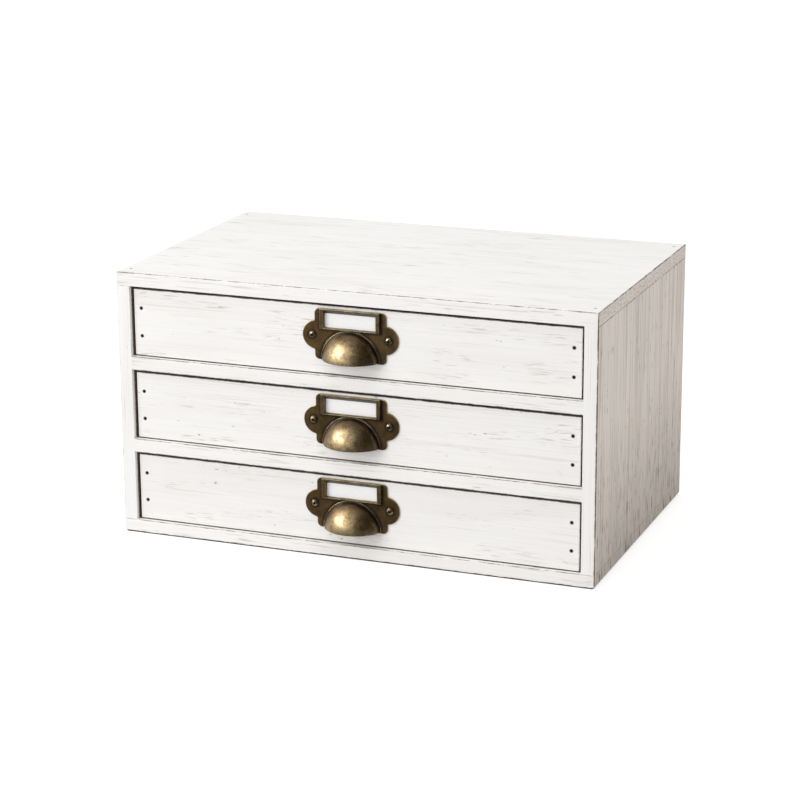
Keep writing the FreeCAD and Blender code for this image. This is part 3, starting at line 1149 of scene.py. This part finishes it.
@dataclass(frozen=True)
class AntiqueBronze:
    """Cast brass, darkened to an antique bronze, rubbed back on its high spots and lacquered.

    The eye gets a mottled dark brown metal, satin and uneven, that turns to warm brass where
    hands polish it: on the crown of the cup and along the edges of the casting. The lacquer
    gives it a paler highlight.

    Attributes:
        name: The material's name.
        screw_row: The height of the lowest screws, in millimetres.
        row_pitch: From one row of screws to the next, in millimetres.
        crown: How far proud of the plate the crown's polish begins and is full, in millimetres.
        raised: How polished everything proud of the plate is, from 0 to 1.
        screw_ring: How far from the screws' middles the dark ring round them is full and where it ends, in
            millimetres.
        in_walls: How dark the foot of whatever rises from the plate is painted, as shade, from 0 to 1.
        in_corners: How dark the plate is painted round the frame and the cup, as shade, from 0 to 1.
        pull: The pull that the metal is for.
        dark: The patina where it is thickest.
        brown: The patina where it is thinnest.
        brass: The polished metal.
        bright: The metal rubbed bare along the edges.
        dirt_and_shade: The near-black of the painted shade at the walls, corners and well, of dirt and
            shade in the hollows, and of the rings round the screws.
    """

    name: str
    screw_row: float
    row_pitch: float
    crown: tuple[float, float] = (4.0, 14.0)
    raised: float = 0.15
    screw_ring: tuple[float, float] = (2.7, 4.6)
    in_walls: float = 0.7
    in_corners: float = 0.7
    pull: CupPull = CupPull()
    dark: str = "#48381F"
    brown: str = "#745A34"
    brass: str = "#B49E74"
    bright: str = "#C4B38C"
    dirt_and_shade: str = "#1A120A"

    def shade_and_ring_masks(self, recipe: Recipe, proud: Socket) -> list[Socket]:
        """Masks the painted shade at the foot of the walls and on the plate round them, and the dark rings
        round the screws.

        Args:
            recipe: The material being made.
            proud: How far the metal stands out from the plate's face.

        Returns:
            The three masks in that order.
        """
        add, pull = recipe.add, self.pull
        x, _, z = add("SeparateXYZ", {0: recipe.mm}).node.outputs
        across = add("Math", {0: x}, operation="ABSOLUTE")
        # Heights from the nearest of the rows of screws
        row = add("Math", {0: z, 1: self.screw_row}, operation="SUBTRACT")
        row = add("Math", {0: row, 1: self.row_pitch / 2, 2: -self.row_pitch / 2}, operation="WRAP")
        # The walls' painted shade is a band 1.5 mm high, from the plate's face up
        band = add("Math", {0: proud, 1: 0.75}, operation="SUBTRACT")
        band = add("Math", {0: band}, operation="ABSOLUTE")
        frame_middle = (pull.plate_top + pull.frame_low) / 2
        frame_half_height = (pull.plate_top - pull.frame_low) / 2
        beside = add("Math", {0: across, 1: pull.frame_half}, operation="SUBTRACT")
        above = add("Math", {0: row, 1: frame_middle}, operation="SUBTRACT")
        above = add("Math", {0: above}, operation="ABSOLUTE")
        above = add("Math", {0: above, 1: frame_half_height}, operation="SUBTRACT")
        to_frame = add("Math", {0: beside, 1: above}, operation="MAXIMUM")
        from_lip = add("Math", {0: row, 1: pull.plate_bottom}, operation="ADD")
        to_cup = add("CombineXYZ", {0: x, 1: from_lip})
        to_cup = add("VectorMath", {0: to_cup}, out="Value", operation="LENGTH")
        to_cup = add("Math", {0: to_cup, 1: pull.rim}, operation="SUBTRACT")
        to_wall = add("Math", {0: to_frame, 1: to_cup}, operation="MINIMUM")
        beside = add("Math", {0: across, 1: pull.screw_x}, operation="SUBTRACT")
        to_screw = add("CombineXYZ", {0: beside, 1: row})
        to_screw = add("VectorMath", {0: to_screw}, out="Value", operation="LENGTH")
        # Each is full up to the first distance in millimetres and ends at the second
        walls, corners, seats = (
            add("MapRange", {0: away, 1: full, 2: end, 3: most, 4: 0.0}, interpolation_type="SMOOTHSTEP")
            for away, full, end, most in (
                (band, 0.45, 0.75, self.in_walls),
                (to_wall, 0.5, 2.8, self.in_corners),
                (to_screw, *self.screw_ring, 0.85),
            )
        )
        # The corners' painted shade lies on the plate, and has faded out 0.7 mm over its face
        on_plate = add("MapRange", {0: proud, 1: 0.7, 2: 0.3})
        corners = add("Math", {0: corners, 1: on_plate}, operation="MULTIPLY")
        return [walls, corners, seats]

    def material(self) -> bpy.types.Material:
        """Makes the metal's material.

        Returns:
            The material.
        """
        recipe = Recipe(self.name)
        add = recipe.add

        # Blotches of patina 6 mm across, with specks of 1.2 mm
        blotch = add("TexNoise", {"Vector": recipe.mm, "Scale": 1 / 6, "Detail": 5.0, "Roughness": 0.62})
        speck = add("TexNoise", {"Vector": recipe.mm, "Scale": 1 / 1.2, "Detail": 3.0})
        tone = add("Math", {0: speck, 1: 0.5, 2: blotch}, operation="MULTIPLY_ADD")
        depth = add("MapRange", {0: tone, 1: 0.55, 2: 0.98})
        uneven = add("MapRange", {0: tone, 1: 0.58, 2: 0.92, 3: 0.2})
        out = add("SeparateXYZ", {0: recipe.mm}, out=1)
        proud = add("Math", {0: FACE_Y - self.pull.plate_thickness, 1: out}, operation="SUBTRACT")
        # What is 0.9 mm over the plate's face begins to be polished a little, and the crown fully
        raised, crown = (
            add("MapRange", {0: proud, 1: start, 2: full, 4: most}, interpolation_type="SMOOTHSTEP")
            for start, full, most in ((0.9, 1.9, self.raised), (*self.crown, 1.0))
        )
        polish = add("Math", {0: raised, 1: crown}, operation="MAXIMUM")
        polish = add("Math", {0: polish, 1: uneven}, operation="MULTIPLY")
        rub = add("Attribute", out="Fac", attribute_name="rub")
        rub = add("Math", {0: rub, 1: uneven}, operation="MULTIPLY")
        hollow = add("Attribute", out="Fac", attribute_name="hollow")
        walls, corners, seats = self.shade_and_ring_masks(recipe, proud)
        colour = srgb(self.dark)
        # The near-black paints shade at the foot of the walls, round the frame and the cup and in the
        # frame's well, dirt with shade in the hollows, and a ring round each screw
        for shown, paint in (
            (depth, self.brown),
            (polish, self.brass),
            (walls, self.dirt_and_shade),
            (corners, self.dirt_and_shade),
            (rub, self.bright),
            (hollow, self.dirt_and_shade),
            (seats, self.dirt_and_shade),
        ):
            colour = add("Mix", {0: shown, 6: colour, 7: srgb(paint)}, out=2, data_type="RGBA")
        rough = add("MapRange", {0: polish, 3: 0.5, 4: 0.36})
        bump = add("Bump", {"Strength": 0.4, "Distance": 0.00005, "Height": tone})
        inputs = {"Base Color": colour, "Metallic": 1.0, "Roughness": rough, "Normal": bump}
        lacquer = {"Coat Weight": 0.65, "Coat Roughness": 0.3}
        return recipe.finish(add("BsdfPrincipled", {**inputs, **lacquer}))


@dataclass
class Carcass:
    """The fixed boards of the cabinet, in millimetres.

    Attributes:
        half_width: Half the cabinet's width.
        half_depth: Half its depth.
        height: Its height.
        board: Its boards' thickness.
        brad_spread: How far the top's brads lie from its middle.
    """

    half_width: float = 180.0
    half_depth: float = 112.5
    height: float = 196.0
    board: float = 10.0
    brad_spread: Point = (174.0, 100.5, 0.0)

    def arrises(self) -> tuple[WearAndShadeBox, ...]:
        """Lists where the carcass is worn, and shaded in paint along the base: all its arrises, then single
        ones, then its side's seams.

        Returns:
            Boxes that each have the worn arrises among their own.
        """
        x, y, z = self.half_width, self.half_depth, self.height
        return (
            # All the arrises
            WearAndShadeBox((-x, -y, 0.0), (x, y, z), 0.05, 0.66, 0.7, "#75675A"),
            # The upright one at the left front
            WearAndShadeBox((-x, -y, -FAR), (FAR, FAR, FAR), 0.3, 0.9, 0.5, "#8A8178"),
            # A wide pale band on both sides of the one at the right front
            WearAndShadeBox((-FAR, -y, -FAR), (x, FAR, FAR), 1.8, 2.8, 0.5, "#F7EADF"),
            # The top's front and right ones
            WearAndShadeBox((-FAR, -y, -FAR), (FAR, FAR, z), 0.2, 0.8, 0.8, "#7F7163"),
            WearAndShadeBox((-FAR, -FAR, -FAR), (x, FAR, z), 0.3, 0.8, 0.9),
            # The one at the right front again, darker and narrower
            WearAndShadeBox((-FAR, -y, -FAR), (x, FAR, FAR), 0.45, 1.1, 0.9, "#5E5146"),
            # The base's front and right ones, worn, and darker still as painted shade where the base meets
            # the floor
            WearAndShadeBox((-FAR, -y, 0.0), (FAR, FAR, FAR), 0.9, 1.5, 1.0, "#40352B"),
            WearAndShadeBox((-FAR, -FAR, 0.0), (x, FAR, FAR), 1.3, 2.1, 0.9, "#54473B"),
            # The seams under the top board and over the base
            WearAndShadeBox((-x, -FAR, -FAR), (x, FAR, z - self.board), 0.1, 0.55, 0.65),
            WearAndShadeBox((-x, -FAR, self.board), (x, FAR, FAR), 0.1, 0.6, 0.3),
        )

    def seams_of(self, node: str) -> WearAndShadeBox:
        """The arrises and seams of one board.

        Args:
            node: The board's node.

        Returns:
            The worn box.
        """
        low, high = (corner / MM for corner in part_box(node))
        if node.endswith("divider"):
            return WearAndShadeBox(tuple(low), tuple(high), 0.1, 0.8, 0.8, "#54473B")
        if node == "bottom_board":
            # The wash, brushed on over the sides and its ends, nearly fills the seams there
            return WearAndShadeBox((-FAR, low.y, low.z), (FAR, high.y, high.z), 0.0, 0.75, 0.8, "#54473B")
        if node.endswith("side"):
            low.z = -FAR
        return WearAndShadeBox(tuple(low), tuple(high), -0.4, 0.32, 0.6)

    def dress(self) -> None:
        """Gives every board of the carcass its finish."""
        inside, front = self.half_width - self.board, -self.half_depth
        # How far in from the front the brush left wash at the mouth of the bays
        mouth = Limit(Axis.Y, front + 3.3, Side.ABOVE, 0.4)
        sill = Limit(Axis.Y, front + 3.6, Side.ABOVE, 0.3)
        bare = {
            "top_board": (Limit(Axis.Z, self.height - self.board + 0.05, Side.BELOW), sill),
            "bottom_board": (Limit(Axis.Z, self.board - 0.05, Side.ABOVE), sill),
            "left_side": (Limit(Axis.X, -inside - 0.05, Side.ABOVE), mouth),
            "right_side": (Limit(Axis.X, inside + 0.05, Side.BELOW), mouth),
            "lower_divider": (sill,),
            "upper_divider": (sill,),
        }
        # The wash is thin on both sides and on the back
        ends = (
            Limit(Axis.X, self.half_width - 0.25, Side.ABOVE),
            Limit(Axis.X, 0.25 - self.half_width, Side.BELOW),
            Limit(Axis.Y, self.half_depth - 0.25, Side.ABOVE),
        )
        brads = BradMarks((0.0, 0.0, self.height), self.brad_spread, 1.1, 0.2)
        seeds = {"top_board": 5.0, "bottom_board": 44.0, "left_side": 31.0, "right_side": 44.0}
        for node, limits in bare.items():
            upright = node.endswith("side")
            base = node == "bottom_board"
            finish = RubbedWhitewash(
                f"rubbed_whitewash_{node}",
                Axis.Z if upright else Axis.X,
                seeds.get(node, 57.0),
                (*self.arrises(), self.seams_of(node)),
                UPRIGHT_MARKS if upright else BASE_MARKS if base else BOARD_MARKS,
                limits,
                ends[:2] if base else ends,
                brads if node == "top_board" else None,
            )
            coat(frame["nodes"][node], finish.material())
            LOG.info("%s: %s", node, finish.name)
        panel = PlanedSoftwood("planed_softwood_back_panel", Axis.X, 61.0)
        coat(frame["nodes"]["back_panel"], panel.material())
        steel = DullSteel("dull_steel_carcass_brads").material()
        washed = DullSteel("washed_steel_top_brads", "#82796F", "#A2978B").material()
        for node, metal in (("top_brads", washed), ("bottom_brads", steel), ("back_panel_brads", steel)):
            coat(frame["nodes"][node], metal)


@dataclass
class Drawer:
    """One drawer with its box, its pull, its card and its screws, in millimetres.

    Attributes:
        bay: Which bay it runs in.
        seed: Keeps its patterns apart from the other drawers'.
        screw_turns: How far the recess of each screw is turned, in degrees.
        brad_spread: How far the front's brads lie from its middle.
        screw_lift: How far over its middle the screws lie.
    """

    bay: str
    seed: float
    screw_turns: tuple[float, float]
    brad_spread: Point = (162.2, 0.0, 10.25)
    screw_lift: float = 3.05

    def node(self, part: str) -> str:
        """The node's name of one of the drawer's parts."""
        return f"{self.bay}_drawer_{part}"

    def middle(self) -> float:
        """The height of the front's middle."""
        return sum(corner.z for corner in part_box(self.node("front"))) / 2 / MM

    def screw_row(self) -> float:
        """The height of the screws."""
        return self.middle() + self.screw_lift

    def dress(self) -> None:
        """Gives the drawer's boards, brads and card their finishes."""
        nodes = frame["nodes"]
        low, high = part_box(self.node("front"))
        face = RubbedWhitewash(
            f"rubbed_whitewash_{self.bay}_front",
            Axis.X,
            self.seed,
            (
                WearAndShadeBox(tuple(low / MM), tuple(high / MM), -0.2, 0.4, 0.5),
                # The front's top arris, darker than wear, which paints the shade in the gap over the drawer
                WearAndShadeBox((-FAR, FACE_Y, -FAR), (FAR, FAR, high.z / MM), 0.5, 1.0, 0.95, "#33291F"),
            ),
            FRONT_MARKS,
            (Limit(Axis.Y, FACE_Y + 0.55, Side.ABOVE, 0.15),),
            rims=BradMarks((0.0, 0.0, self.middle()), self.brad_spread, 1.15, 0.85),
            # Its bare edges are stained dark, and darker still to paint the shade in the gaps round the
            # drawer
            raw_wood="#574636",
            raw_grain="#45372A",
        )
        coat(nodes[self.node("front")], face.material())
        for part in ("left_side", "right_side", "back", "base"):
            grain = Axis.Y if part.endswith("side") else Axis.X
            wood = PlanedSoftwood(f"planed_softwood_{self.bay}_{part}", grain, self.seed + len(part))
            coat(nodes[self.node(part)], wood.material())
        steel = DullSteel(f"dull_steel_{self.bay}_brads").material()
        for part in ("front_brads", "back_brads"):
            coat(nodes[self.node(part)], steel)
        coat(nodes[self.node("label_card")], CardPaper(f"card_paper_{self.bay}").material())

    def fit_pull(self, metal: bpy.types.Material, screw_metal: bpy.types.Material) -> None:
        """Builds the pull and its screws and mounts them on the drawer.

        Args:
            metal: The casting's material.
            screw_metal: The screws' material.
        """
        pull = CupPull()
        mounting = Vector((0, FACE_Y, self.screw_row()))
        casting = pull.casting(f"{self.bay}_cup_pull", mounting)
        screws = pull.screws(f"{self.bay}_cup_pull_screws", mounting, self.screw_turns)
        for piece, node, material in ((casting, "pull", metal), (screws, "pull_screws", screw_metal)):
            coat(piece, material)
            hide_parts(self.node(node))
            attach(piece, f"{self.bay}_drawer")
            LOG.info("%s: %d faces", piece.name, len(piece.data.polygons))


def toward(azimuth: float, elevation: float) -> Vector:
    """Points from the cabinet to where a lamp or the camera stands.

    Args:
        azimuth: Degrees from straight in front, positive to the right.
        elevation: Degrees up.

    Returns:
        The direction, one unit long.
    """
    turn, lift = math.radians(azimuth), math.radians(elevation)
    return Vector((math.sin(turn) * math.cos(lift), -math.cos(turn) * math.cos(lift), math.sin(lift)))


@dataclass(frozen=True)
class SoftBox:
    """A wide square lamp, turned towards the cabinet.

    Attributes:
        name: Its name.
        azimuth: Where it stands, in degrees from straight in front, positive to the right.
        elevation: How high it stands, in degrees.
        power: Its power, in watts.
        size: Its side, in millimetres.
        distance: How far off it stands, in millimetres.
        aim: How high over the floor it points, in millimetres.
    """

    name: str
    azimuth: float
    elevation: float
    power: float
    size: float = 1500.0
    distance: float = 2600.0
    aim: float = 100.0

    def hang(self) -> None:
        """Hangs the lamp, which no glossy ray sees."""
        data = bpy.data.lights.new(self.name, "AREA")
        data.shape = "SQUARE"
        data.size = self.size * MM
        data.energy = self.power
        lamp = bpy.data.objects.new(self.name, data)
        bpy.context.scene.collection.objects.link(lamp)
        back = toward(self.azimuth, self.elevation)
        lamp.location = (back * self.distance + Vector((0, 0, self.aim))) * MM
        lamp.rotation_mode = "QUATERNION"
        lamp.rotation_quaternion = (-back).to_track_quat("-Z", "Y")
        lamp.visible_glossy = False


@dataclass
class Studio:
    """The plain floor, the soft light and the camera.

    Angles are in degrees and lengths in millimetres. The camera's place comes from a fit to the
    cabinet's corners and openings.

    Attributes:
        azimuth: Where the camera stands, from straight in front, positive to the right.
        elevation: How high it stands.
        roll: How far it is turned about its line of sight.
        distance: How far off it stands.
        slide: How far it is moved to its right and up from where it would look at the origin.
        focal_pixels: Its focal length in pixels of the picture.
        picture_pixels: The picture's width in pixels.
        ambient: The strength of the world's light.
        floor_reach: How far the floor reaches to each side.
        floor_lift: How much the floor glows for the rays that see it, which makes it white.
        lamps: The lamps.
    """

    azimuth: float = 21.219
    elevation: float = 16.113
    roll: float = -0.323
    distance: float = 1867.9
    slide: tuple[float, float] = (-6.18, 84.04)
    focal_pixels: float = 2481.0
    picture_pixels: float = 800.0
    ambient: float = 0.65
    floor_reach: float = 6000.0
    floor_lift: float = 0.62
    lamps: tuple[SoftBox, ...] = (
        SoftBox("front_soft_box", -40.0, 25.0, 26.0),
        SoftBox("top_soft_box", -30.0, 75.0, 16.0),
    )

    def place_camera(self) -> None:
        """Adds the camera at the fitted viewpoint."""
        turn, roll = math.radians(self.azimuth), math.radians(self.roll)
        back = toward(self.azimuth, self.elevation)
        level = Vector((math.cos(turn), math.sin(turn), 0))
        upright = back.cross(level)
        right = level * math.cos(roll) + upright * math.sin(roll)
        up = upright * math.cos(roll) - level * math.sin(roll)
        place = back * self.distance + right * self.slide[0] + up * self.slide[1]
        data = bpy.data.cameras.new("viewpoint")
        data.lens = data.sensor_width * self.focal_pixels / self.picture_pixels
        data.clip_start, data.clip_end = 0.05, 50.0
        camera = bpy.data.objects.new("viewpoint", data)
        bpy.context.scene.collection.objects.link(camera)
        axes = Matrix((right, up, back)).transposed()
        camera.matrix_world = Matrix.Translation(place * MM) @ axes.to_4x4()
        bpy.context.scene.camera = camera

    def light_world(self) -> None:
        """Makes the world a soft even light with a white background."""
        world = bpy.data.worlds.new("studio")
        bpy.context.scene.world = world
        nodes = Nodes(world)
        strength = nodes.add("MapRange", {0: nodes.seen_rays(), 3: self.ambient})
        light = nodes.add("Background", {"Color": (1, 1, 1, 1), "Strength": strength})
        nodes.add("OutputWorld", {"Surface": light})

    def hang_card(self, name: str, edge: Pen, across: Point, shader: tuple[str, dict]) -> None:
        """Hangs a card that glossy rays alone see, so it shows in the metal and in the wash's gloss.

        Args:
            name: The card's name.
            edge: One of its edges.
            across: From that edge to the opposite one.
            shader: The shader's kind and its inputs.
        """
        made = bmesh.ops.extrude_edge_only(edge.mesh, edges=edge.edges)
        moved = [item for item in made["geom"] if isinstance(item, bmesh.types.BMVert)]
        bmesh.ops.translate(edge.mesh, vec=across, verts=moved)
        card = piece_from(edge.mesh, name, 30)
        recipe = Recipe(name)
        coat(card, recipe.finish(recipe.add(*shader)))
        for ray in ("camera", "diffuse", "transmission", "volume_scatter", "shadow"):
            setattr(card, f"visible_{ray}", False)

    def hang_cards(self) -> None:
        """Hangs a black card to the right, a grey one low in front and a lit one to the left."""
        # In millimetres: each card's first edge, and then how far the card reaches from it
        felt = ("BsdfDiffuse", {"Color": srgb("#141414")})
        grey = ("BsdfDiffuse", {"Color": srgb("#5E5E5E")})
        lit = ("Emission", {"Strength": 9.5})
        # The upright cards are bent about the cabinet, each from its first edge on
        up = (0, 0, 1)
        right = Pen(bmesh.new(), (333, -1565, 0), up).arc((0, 0, 0), 158, 24)
        self.hang_card("black_felt_right", right, (0, 0, 4200), felt)
        low = Pen(bmesh.new(), (-1400, -1700, 3), up).run((1400, -1700, 3))
        self.hang_card("grey_card_low", low, (0, 1560, 0), grey)
        left = Pen(bmesh.new(), (-1410, -513, 420), up).arc((0, 0, 420), 42, 8)
        self.hang_card("lit_card_left", left, (0, 0, 960), lit)

    def lay_floor(self) -> None:
        """Lays the pale floor, which shows white and keeps the cabinet's soft shadow."""
        mesh = bmesh.new()
        bmesh.ops.create_grid(mesh, x_segments=4, y_segments=4, size=self.floor_reach)
        # A hair under the cabinet, so that the two don't lie in one plane
        bmesh.ops.translate(mesh, vec=(0, 0, -0.2), verts=mesh.verts)
        floor = piece_from(mesh, "floor", 30)
        recipe = Recipe("matt_paper_floor")
        add = recipe.add
        paper = add("BsdfDiffuse", {"Color": srgb("#DADADA")})
        lift = add("Math", {0: recipe.seen_rays(), 1: self.floor_lift}, operation="MULTIPLY")
        glow = add("Emission", {"Strength": lift})
        coat(floor, recipe.finish(add("AddShader", {0: paper, 1: glow})))

    def set_up(self) -> None:
        """Sets up the whole studio."""
        self.place_camera()
        self.light_world()
        for lamp in self.lamps:
            lamp.hang()
        self.hang_cards()
        self.lay_floor()
        bpy.context.scene.view_settings.view_transform = "Standard"


def main() -> None:
    """Builds the cabinet's looks and the studio round it."""
    logging.basicConfig(level=logging.INFO, format="%(name)s: %(message)s")
    Carcass().dress()
    drawers = [
        Drawer("bottom", 101.0, (12.0, 51.0)),
        Drawer("middle", 137.0, (70.0, 28.0)),
        Drawer("top", 173.0, (33.0, 5.0)),
    ]
    rows = [drawer.screw_row() for drawer in drawers]
    bronze = AntiqueBronze("antique_bronze_pull", rows[0], rows[1] - rows[0])
    screw_bronze = replace(
        bronze,
        name="antique_bronze_screw",
        crown=(-0.1, 1.1),
        screw_ring=(0.9, 1.4),
        in_walls=0.0,
        in_corners=0.0,
        brass="#8E7E62",
    )
    metal, screw_metal = bronze.material(), screw_bronze.material()
    for drawer in drawers:
        drawer.dress()
        drawer.fit_pull(metal, screw_metal)
    Studio().set_up()


if __name__ == "__main__":
    main()
